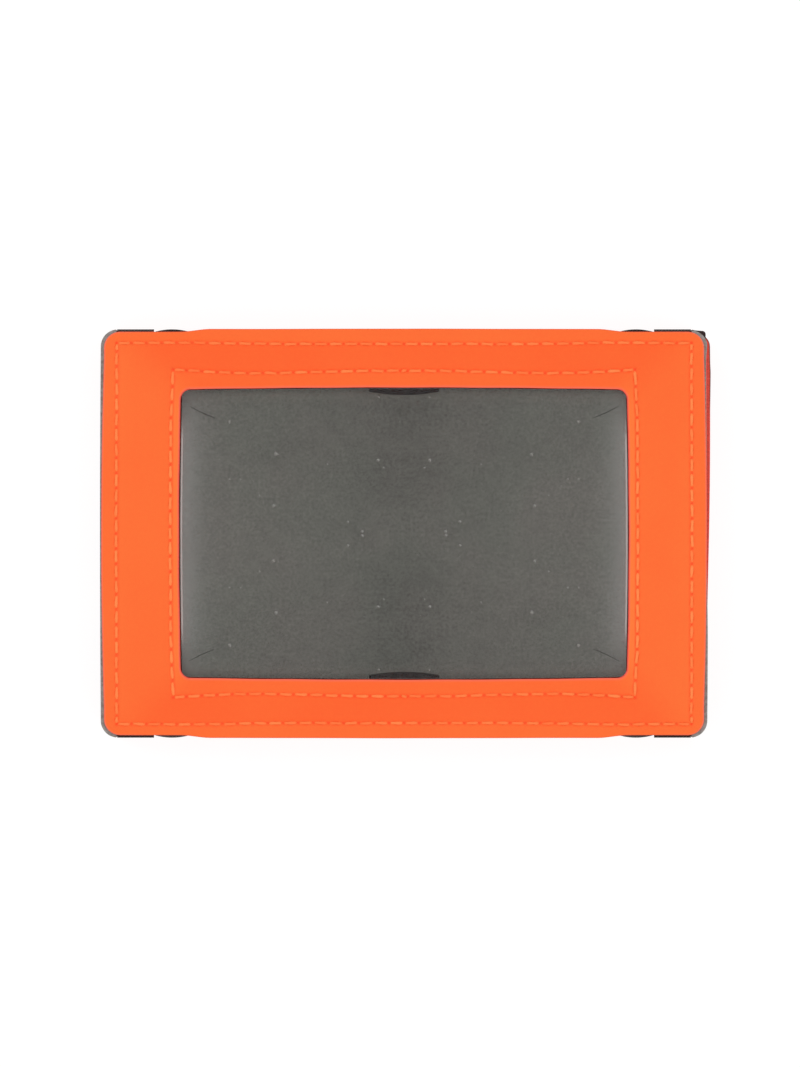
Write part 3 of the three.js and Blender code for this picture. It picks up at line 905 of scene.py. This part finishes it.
def panels():
    """The inner faces, the back cover, the back pocket and all the seams."""
    holes = seam_holes(False)
    seam, sides = [seam_ring(False)], [by_outer_seam]
    front, back = FRONT_FACING, BACK_FACING
    plate("front_inner_leather", panel_ring, front, "front_panel", "front_facing", seam, holes, sides, True)
    plate("back_inner_leather", panel_ring, back, "back_panel", "back_facing", seam, holes, sides)
    around = np.concatenate([holes, holes[:1]])
    groove, facing = FRONT_LEATHER[1] - SEAM_DEPTH, front[0] + SEAM_DEPTH
    stitches("front_outer_stitches", around, groove, "front_panel", "front_outer_thread")
    stitches("front_inner_stitches", around, facing, "front_panel", "front_inner_thread", True)
    stitches("back_inner_stitches", around, back[1] - SEAM_DEPTH, "back_panel", "back_inner_thread")
    holes = seam_holes(True)
    stitches("window_stitches", np.concatenate([holes, holes[:1]]), groove, "front_panel", "window_thread")

    top = three_sides(TOP_SEAM_START, OUTER_SEAM[1], 42)
    # The back cover's edge gets painted shade at the upper right
    seam, edge_shade = [even(top, 700)], 0.9
    levels = BACK_LEATHER
    plate("back_cover", back_ring, levels, "back_panel", "back_leather", seam, top, sides, True, slip, edge_shade)
    groove = levels[0] + SEAM_DEPTH
    stitches("back_top_stitches", top, groove, "back_panel", "back_top_thread", True, place=slip)

    foot, mouth = three_sides(POCKET_SEAM_START, -OUTER_SEAM[1], 83), mouth_line(40)
    seam, holes = [even(foot, 900), mouth_line(500)], np.concatenate([foot, mouth])
    sides = [by_outer_seam, by_mouth_seam]
    levels = POCKET_LEATHER
    plate("back_pocket", pocket_ring, levels, "back_panel", "back_pocket_leather", seam, holes, sides, True)
    groove = levels[0] + SEAM_DEPTH
    stitches("back_pocket_stitches", foot, groove, "back_panel", "back_seam_thread", True)
    stitches("pocket_mouth_stitches", mouth, groove, "back_panel", "pocket_mouth_thread", True)


# Fillers, lining and boards
def corner_and(tail, corner=PANEL):
    """A quarter of a layer's outline: its corner from the end round to the side, and then the tail."""
    x, y, radius = corner
    stop = np.arccos(np.clip((RECESS[1] - x + radius) / radius, 0, 1))
    turn = np.linspace(0, stop, 19)
    return np.concatenate([arc_points(x - radius, y - radius, radius, turn), tail])


def right_half(top, foot, trim=0.0):
    """The right half of a layer's outline, from its top round its bowed end to its foot. trim is how much
    shorter it is at its upper end."""
    (x_top, y_top), (x_foot, y_foot) = top[0], foot[0]
    y = np.linspace(y_top, -y_foot, 33)[1:-1]
    x = np.interp(y, (-y_foot, y_top), (x_foot, x_top)) + PANEL_END_BOW * (1 - (y / PANEL_END_SPAN) ** 2)
    outline = np.concatenate([top[::-1], xy(x, y), foot * (1, -1)])
    x, y = outline.T
    outline[:, 0] -= trim * smooth(x, 48.0, 52.0) * smooth(y, -20.0, -2.0) * (1 - smooth(y, 30.0, 34.0))
    return outline


def sheet_layer(name, right, left, levels, body, node_name, material):
    """A layer cut to the outlines of its halves, with eased edges."""
    index, faces = {}, []
    for half in (right, left * (-1, 1)):
        rims = [[index.setdefault((*np.round(spot, 4), z), len(index)) for spot in half] for z in levels]
        faces += [tuple(rim) for rim in rims]
        for i, spot in enumerate(half):
            k = (i + 1) % len(half)
            if abs(spot[0]) + abs(half[k][0]) > 0.001:
                faces.append((rims[0][i], rims[0][k], rims[1][k], rims[1][i]))
    made = piece(name, list(index), faces, material, body, [node_name])
    ease = made.modifiers.new("eased_edges", "BEVEL")
    ease.width = 0.1 * MM
    ease.segments = 2
    ease.limit_method = "ANGLE"
    ease.angle_limit = 0.8
    ease.harden_normals = True


def fillers(floor, plain, rest):
    """The grey U-shaped layers that give the cards room, and the window pocket's lining."""
    half_x, half_y, _ = PANEL
    high = RECESS[1]
    mouth = [(high, floor), (CARD_ROOM, floor), (CARD_ROOM, FRONT_ROOM_FOOT), (0.0, FRONT_ROOM_FOOT)]
    left = right_half(corner_and(mouth), plain)
    right = right_half(corner_and(mouth, TRIMMED_CORNER), plain, UPPER_TRIM)
    sheet_layer("front_filler", right, left, FRONT_FILLER, "front_panel", "front_welt", WELT)
    room = [(CARD_ROOM, POCKET_MOUTH), (CARD_ROOM, BACK_ROOM_FOOT), (0.0, BACK_ROOM_FOOT)]
    both = right_half(np.array([(half_x, POCKET_MOUTH), *room]), plain)
    sheet_layer("back_filler", both, both, BACK_FILLER, "back_panel", "back_welt", WELT)

    half, level, rise, end = LINING_NOTCH
    x = np.linspace(half, 0, 25)
    notch = xy(x, level + rise * (x / half) ** 2)
    trimmed = corner_and([(high, floor), *rest], TRIMMED_CORNER)
    top, short_top = [np.concatenate([edge[:-1], [(half, half_y)], notch]) for edge in (plain, trimmed)]
    foot = np.concatenate([plain, [(0.0, end), (half, end)], notch])
    left, right = right_half(top, foot), right_half(short_top, foot, UPPER_TRIM)
    levels = POCKET_LINING
    sheet_layer("window_lining", right, left, levels, "front_panel", "pocket_lining", LINING)


def boards(floor):
    """The dark boards, with room for the bands' tucked ends."""
    low, high = RECESS
    rest = [(low, floor), (33.8, 35.92), (31.0, 36.1), (0.0, 36.1)]
    by_side = [(high, TUCK_END), (BAND_SPLIT, TUCK_END), (BAND_SPLIT, floor), *rest]
    by_cross = [(high, floor), (BAND_SPLIT, floor), (BAND_SPLIT, TUCK_END), (low, TUCK_END), *rest]
    side, cross = corner_and(by_side), corner_and(by_cross)
    left, right = right_half(side, cross), right_half(side, cross, UPPER_TRIM)
    levels = FRONT_BOARD
    sheet_layer("front_stiffener", right, left, levels, "front_panel", "front_board", BOARD)
    square = corner_and([(high, PANEL[1]), *by_cross], SQUARE_CORNER)
    right, left = right_half(square, side), right_half(cross, side)
    sheet_layer("back_stiffener", right, left, BACK_BOARD, "back_panel", "back_board", BOARD)


def layers():
    """The fillers, the lining and the boards."""
    low, high = RECESS
    half_y = PANEL[1]
    floor = half_y - RECESS_DEPTH
    rest = [(low, floor), (33.8, 35.88), (30.0, half_y), (0.0, half_y)]
    fillers(floor, corner_and([(high, floor), *rest]), rest)
    boards(floor)


# Film
def film():
    """The clear sheet behind the window."""
    low, high = FILM
    half_x, half_y, corner = FILM_SHEET
    face, edge = [(6.0, high), (0.3, high), (0.08, high - 0.03)], [(0.0, high - 0.1), (0.0, low + 0.05)]
    profile = (*face, *edge, (0.1, low), (6.0, low))
    rows = [(rounded(half_x - inset, half_y - inset, corner), level) for inset, level in profile]
    faces = capped_rings(len(rows), len(rows[0][0]))
    piece("window_sheet", stacked(rows)[0], faces, CLEAR, "front_panel", ["window_film"])


def specks(level):
    """Specks that show in every quarter, and many small ones."""
    spots = [(sx * x, sy * y, size) for x, y, size in SPECKS for sx in (-1, 1) for sy in (-1, 1)]
    x, y = rng.uniform(-38, 38, SMALL_SPECKS), rng.uniform(-24.5, 24.5, SMALL_SPECKS)
    spots += list(zip(x, y, rng.uniform(0.03, 0.08, SMALL_SPECKS)))
    turn = np.linspace(0, 2 * np.pi, SPECK_SIDES, endpoint=False)
    points, faces = [], []
    for x, y, size in spots:
        start = len(points)
        wide = size * (1 + 0.25 * rng.normal(size=SPECK_SIDES))
        points += [(x + r * np.cos(a), y + r * np.sin(a), level) for r, a in zip(wide, turn)]
        points.append((x, y, level + 0.04))
        top = start + SPECK_SIDES
        faces += [(start + i, start + (i + 1) % SPECK_SIDES, top) for i in range(SPECK_SIDES)]
        faces.append(tuple(range(top - 1, start - 1, -1)))
    pale = fleck_material("dust", (0.25, 0.245, 0.225, 1.0))
    piece("film_dust", points, faces, pale, "front_panel", [])


def scratches(level):
    """A thin curved scratch, widest at its inner end, near each corner of the film."""
    count = SCRATCH_STEPS + 1
    t = np.linspace(0, 1, count)
    bow = xy(38.0 - 4.7 * t, 22.55 - 2.75 * t + 0.6 * t**2)
    wide = 0.005 + (0.04 + 0.03 * t) * np.minimum(1, 8 * t) * (1 - t**8)
    points, faces = [], []
    for quarter in ((-1, -1), (-1, 1), (1, -1), (1, 1)):
        start = len(points)
        for lift, reach in ((0.0, 1.0), (0.0, -1.0), (0.012, 0.0)):
            points += [(x, y + reach * w, level + lift) for (x, y), w in zip(bow * quarter, wide)]
        for i in range(SCRATCH_STEPS):
            a, b, c = start + i, start + count + i, start + 2 * count + i
            faces += [(a, a + 1, c + 1, c), (c, c + 1, b + 1, b), (b, b + 1, a + 1, a)]
        end = start + SCRATCH_STEPS
        faces += [(start, start + 2 * count, start + count), (end, end + count, end + 2 * count)]
    dark = fleck_material("scratch", (0.030, 0.029, 0.026, 1.0))
    piece("film_scratches", points, faces, dark, "front_panel", [])


def dust():
    level = FILM[1] + 0.002
    specks(level)
    scratches(level)


# Bands
def band_section(half):
    """A band's section, with ribs and round edges: how far across and how high each of its points lies."""
    radius = BAND_THICKNESS / 2
    outer = half - radius * 0.4
    u = np.linspace(-1, 1, 61)
    crown = radius * np.sqrt(bowed(np.clip(np.abs(u) * half - outer, 0, None) / (half - outer)))
    ribs = RIB_HEIGHT * np.cos(np.pi * 2 * u * half / RIB_PITCH) * (np.abs(u) < 0.93)
    wide, tall = u * half, crown + ribs - 0.03
    return np.concatenate([wide, wide[::-1][1:-1]]), np.concatenate([tall, -tall[::-1][1:-1]])


def ribbon(name, path, side, body, node_name, width, sag=0.0, bow=0.0):
    """A woven band along a path, with ribs along it, soft edges and round ends.
    sag is how far its sides fall away from its middle, and bow how far they fall short at its ends."""
    path, side = np.asarray(path, float), np.asarray(side, float)
    gaps = np.linalg.norm(np.diff(path, axis=0), axis=1)
    length = np.concatenate([[0], np.cumsum(gaps)])
    end = length[-1]
    count = max(int(end / 0.35), 16)
    radius = BAND_THICKNESS / 2
    nose = radius * (1 - np.cos(np.linspace(0, np.pi / 2, 6)))[:-1]
    at = np.concatenate([nose, np.linspace(radius, end - radius, count), end - nose[::-1]])
    where = np.stack([np.interp(at, length, path[:, i]) for i in range(3)], 1)
    across = np.stack([np.interp(at, length, side[:, i]) for i in range(3)], 1)
    across /= np.linalg.norm(across, axis=1)[:, None]
    along = np.gradient(where, at, axis=0)
    along /= np.linalg.norm(along, axis=1)[:, None]
    normal = np.cross(along, across)
    wide, tall = band_section(width / 2)
    fade = np.sqrt(bowed(np.clip(radius - np.minimum(at, end - at), 0, None) / radius))
    share = (wide / (width / 2)) ** 2
    short = bow * (smooth(end - at, 0.0, 7.0) - smooth(at, 0.0, 7.0))
    points = [
        w + np.outer(wide, a) + np.outer(tall * f - sag * share, n) + np.outer(share * s, t)
        for w, a, n, t, f, s in zip(where, across, normal, along, fade, short)
    ]
    size = len(wide)
    marks = {"along": np.repeat(at, size), "across": np.tile(wide, len(at))}
    faces = capped_rings(len(at), size)
    piece(name, np.concatenate(points), faces, ELASTIC, body, [node_name], marks)


def band_end(node_name, x, sign_y, rises, body, width, sag):
    """From the hinge line over the panel's edge and in between its layers."""
    (bend_y, bend_z), radius = END_BEND
    turn = np.radians(np.linspace(0, 90, 9))
    bend = arc_points(bend_y, bend_z, radius, turn)
    profile = np.concatenate([END_RISE, bend, END_TUCK])
    y = sign_y * profile[:, 0]
    z = profile[:, 1] if rises else 2 * HINGE_LEVEL - profile[:, 1]
    path = np.column_stack([np.full(len(y), x), y, z])
    out = 1.0 if (sign_y > 0) == rises else -1.0
    side = np.tile((out, 0.0, 0.0), (len(y), 1))
    ribbon(node_name + "_webbing", path, side, body, node_name, width, sag)


def fold(name, x, sign_y, below, above, width, bow=0.0):
    """The band's bend at a hinge line, between the bodies below and above."""
    line, half, reach = FOLD
    u = np.linspace(-1, 1, 25)
    spine = line - bow * u**2
    crown = half * np.sqrt(1 - u**8)
    y = np.concatenate([spine + crown, (spine - crown)[::-1][1:-1]])
    wide = np.concatenate([u, u[::-1][1:-1]]) * width / 2
    levels = HINGE_LEVEL + np.linspace(-reach, reach, 17)
    points = np.concatenate([np.column_stack([x + wide, sign_y * y, np.full(len(y), z)]) for z in levels])
    marks = {"along": np.repeat(levels, len(y)), "across": np.tile(wide, len(levels))}
    start, end = [(x * MM, sign_y * line * MM, (HINGE_LEVEL + side * reach) * MM) for side in (-0.9, 0.9)]
    faces = capped_rings(len(levels), len(y))
    piece(name, points, faces, ELASTIC, (below, above, start, end), [], marks)


def cross_path(lean, level):
    """Over the panel from corner to corner, with an easy turn at each end. lean is 1 for foot right to top
    left."""
    reach, lead, radius = BAND_REACH, 2.4, 5.0
    slope = np.arctan2(CROSS_BAND[0], 33.0)
    turn = np.linspace(0, slope, 9)
    first = xy(-radius * (1 - np.cos(turn)), radius * np.sin(turn))
    start = np.array([CROSS_BAND[0], -reach + lead])
    foot = np.concatenate([[start - (0, lead)], start + first])
    flat = even(np.concatenate([foot, -foot[::-1]]), 260)
    along = np.gradient(flat, axis=0)
    along /= np.hypot(*along.T)[:, None]
    side = np.column_stack([along[:, 1], -along[:, 0], np.zeros(len(flat))])
    ease = smooth(np.abs(flat[:, 1]), 30.5, reach - 0.3)
    height = level + (HINGE_LEVEL - level) * ease
    return np.column_stack([flat * (lean, 1), height]), side * (lean, 1, 1)


def bands():
    """The bands' runs, ends and folds."""
    middle, width = SIDE_BAND
    y = np.linspace(-BAND_REACH, BAND_REACH, 40)
    for name, x in (("side_band_left", -middle), ("side_band_right", middle)):
        path = np.column_stack([xy(x, y), np.full(len(y), HINGE_LEVEL)])
        ribbon(name + "_webbing", path, np.tile((1.0, 0.0, 0.0), (len(y), 1)), "side_bands", name, width)
        band_end(name + "_front_end", x, 1, True, "front_panel", width, 0.0)
        band_end(name + "_back_end", x, -1, False, "back_panel", width, 0.0)
        fold(name + "_back_fold", x, -1, "back_panel", "side_bands", width - 0.4)
    middle, width = CROSS_BAND
    narrow, bow = FOLD_SHARE * width, CROSS_BOW * FOLD_SHARE**2
    for name, lean, level in zip(("cross_band_lower", "cross_band_upper"), (1, -1), CROSS_LEVELS):
        x = lean * middle
        path, side = cross_path(lean, level)
        ribbon(name + "_webbing", path, side, "cross_bands", name, width, bow=CROSS_BOW)
        band_end(name + "_front_end", x, -1, True, "front_panel", width, CROSS_BOW)
        band_end(name + "_back_end", -x, 1, False, "back_panel", width, CROSS_BOW)
        fold(name + "_front_fold", x, -1, "cross_bands", "front_panel", narrow, bow)
        fold(name + "_back_fold", -x, 1, "back_panel", "cross_bands", narrow, bow)


# Light, floor and camera
def light(name, place, size, power):
    lamp = bpy.data.lights.new(name, "AREA")
    lamp.shape = "DISK"
    lamp.size = size
    lamp.energy = power
    made = bpy.data.objects.new(name, lamp)
    made.location = place
    made.rotation_euler = (-made.location).to_track_quat("-Z", "Y").to_euler()
    bpy.context.scene.collection.objects.link(made)


def direct_view(tree):
    """1 for rays from the camera or off a mirror or through glass."""
    path = node("LightPath", tree=tree)
    seen = math("MAXIMUM", path.outputs["Is Camera Ray"], path.outputs["Is Glossy Ray"])
    return math("MAXIMUM", seen, path.outputs["Is Transmission Ray"])


def floor_sheet():
    """A white floor just below the wallet: it glows for direct views and takes the wallet's shadow."""
    far, level = 3.0, -0.2 * MM
    corners = [(-far, -far, level), (far, -far, level), (far, far, level), (-far, far, level)]
    mesh = bpy.data.meshes.new("floor")
    mesh.from_pydata(corners, [], [(0, 1, 2, 3)])
    floor = bpy.data.objects.new("floor", mesh)
    bpy.context.scene.collection.objects.link(floor)
    paint = bpy.data.materials.new("floor_paint")
    tree = bare_tree(paint)
    matt = node("BsdfDiffuse", {"Color": (0.94, 0.94, 0.94, 1.0)}, tree)
    glow = node("Emission", {"Color": (1.0, 1.0, 1.0, 1.0), "Strength": 1.1}, tree)
    share = math("MULTIPLY", direct_view(tree), 0.78)
    both = node("MixShader", {0: share, 1: matt.outputs[0], 2: glow.outputs[0]})
    tree.links.new(both.outputs[0], tree.nodes["Material Output"].inputs["Surface"])
    mesh.materials.append(paint)


def studio():
    """White surroundings, which light the wallet less than they show, two soft lamps and a floor."""
    scene = bpy.context.scene
    scene.view_settings.view_transform = "Standard"
    world = bpy.data.worlds.new("studio")
    world.use_nodes = True
    tree = world.node_tree
    strength = math("ADD", 0.74, math("MULTIPLY", direct_view(tree), 0.26))
    background = tree.nodes["Background"]
    background.inputs["Color"].default_value = (1.0, 1.0, 1.0, 1.0)
    tree.links.new(strength, background.inputs["Strength"])
    scene.world = world
    light("key", (-1.15, 0.8, 1.7), 1.1, 9.5)
    light("fill", (1.1, -0.8, 1.5), 1.4, 7.4)
    floor_sheet()


def camera():
    """Straight above, with the wallet's middle at its pixel in the photograph."""
    data = bpy.data.cameras.new("camera")
    data.type = "PERSP"
    data.sensor_fit = "VERTICAL"
    data.sensor_height = SENSOR
    data.lens = SENSOR * CAMERA_HEIGHT / (PHOTO_HEIGHT * MM_PER_PIXEL)
    data.clip_start = 0.05
    data.clip_end = 20.0
    made = bpy.data.objects.new("camera", data)
    x = (PHOTO_WIDTH / 2 - MIDDLE_PIXEL[0]) * MM_PER_PIXEL
    y = (MIDDLE_PIXEL[1] - PHOTO_HEIGHT / 2) * MM_PER_PIXEL
    made.location = (x * MM, y * MM, (FRONT_LEATHER[1] + CAMERA_HEIGHT) * MM)
    bpy.context.scene.collection.objects.link(made)
    bpy.context.scene.camera = made


camera()
studio()
front_leather()
panels()
film()
dust()
bands()
layers()
